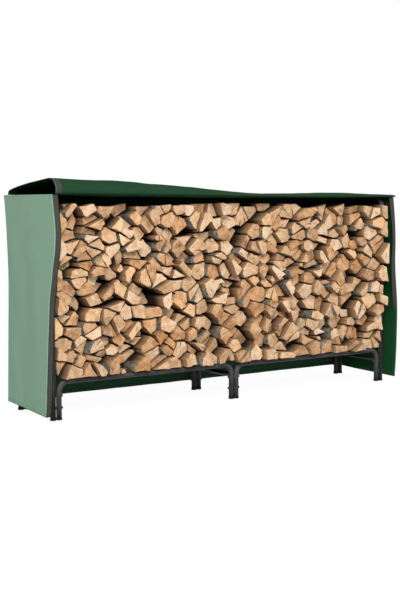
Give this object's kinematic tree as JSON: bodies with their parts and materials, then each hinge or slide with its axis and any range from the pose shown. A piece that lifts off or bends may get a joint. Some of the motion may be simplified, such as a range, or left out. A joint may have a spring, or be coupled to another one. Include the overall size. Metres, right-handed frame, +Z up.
{
  "type": "covered firewood rack with split logs",
  "caption": "Free-standing log store: low black tube rack with tall end frames, a loose green fabric cover open at the front, filled with a pile of split logs.",
  "frame": {"origin": "on the floor, at the middle of the rack's footprint", "axes": "+X along the rack to its right-hand end, +Y from the open front to the back, +Z up"},
  "size_m": [2.46, 0.6001, 1.2723],
  "materials": {
    "black_tube": "black powder coat, satin",
    "foot_cap": "matt black",
    "green_cover": "coated woven polyester, matt",
    "grey_tape": "woven tape, matt",
    "firewood": "raw split hardwood with some bark"
  },
  "bodies": {
    "root": {"left_bay_front_rail": "black_tube", "left_bay_rear_rail": "black_tube", "right_bay_front_rail": "black_tube", "right_bay_rear_rail": "black_tube", "left_bay_outer_crossbar": "black_tube", "left_bay_inner_crossbar": "black_tube", "right_bay_inner_crossbar": "black_tube", "right_bay_outer_crossbar": "black_tube", "left_end_frame": "black_tube", "right_end_frame": "black_tube", "leg_spacers": "black_tube", "front_foot_caps": "foot_cap", "rear_foot_caps": "foot_cap", "cover_left_side": "green_cover", "cover_right_side": "green_cover", "cover_back": "green_cover", "cover_roof": "green_cover", "cover_front_flap": "green_cover", "cover_front_flap_middle": "green_cover", "cover_front_flap_right": "green_cover", "left_zip_tape": "grey_tape", "right_zip_tape": "grey_tape", "flap_left_tape": "grey_tape", "flap_right_tape": "grey_tape", "log_course_01": "firewood", "log_course_02": "firewood", "log_course_03": "firewood", "log_course_04": "firewood", "log_course_05": "firewood", "log_course_06": "firewood", "log_course_07": "firewood", "log_course_08": "firewood", "log_course_09": "firewood", "log_course_10": "firewood", "log_course_11": "firewood", "log_course_12": "firewood", "log_course_13": "firewood"}
  },
  "joints": []
}
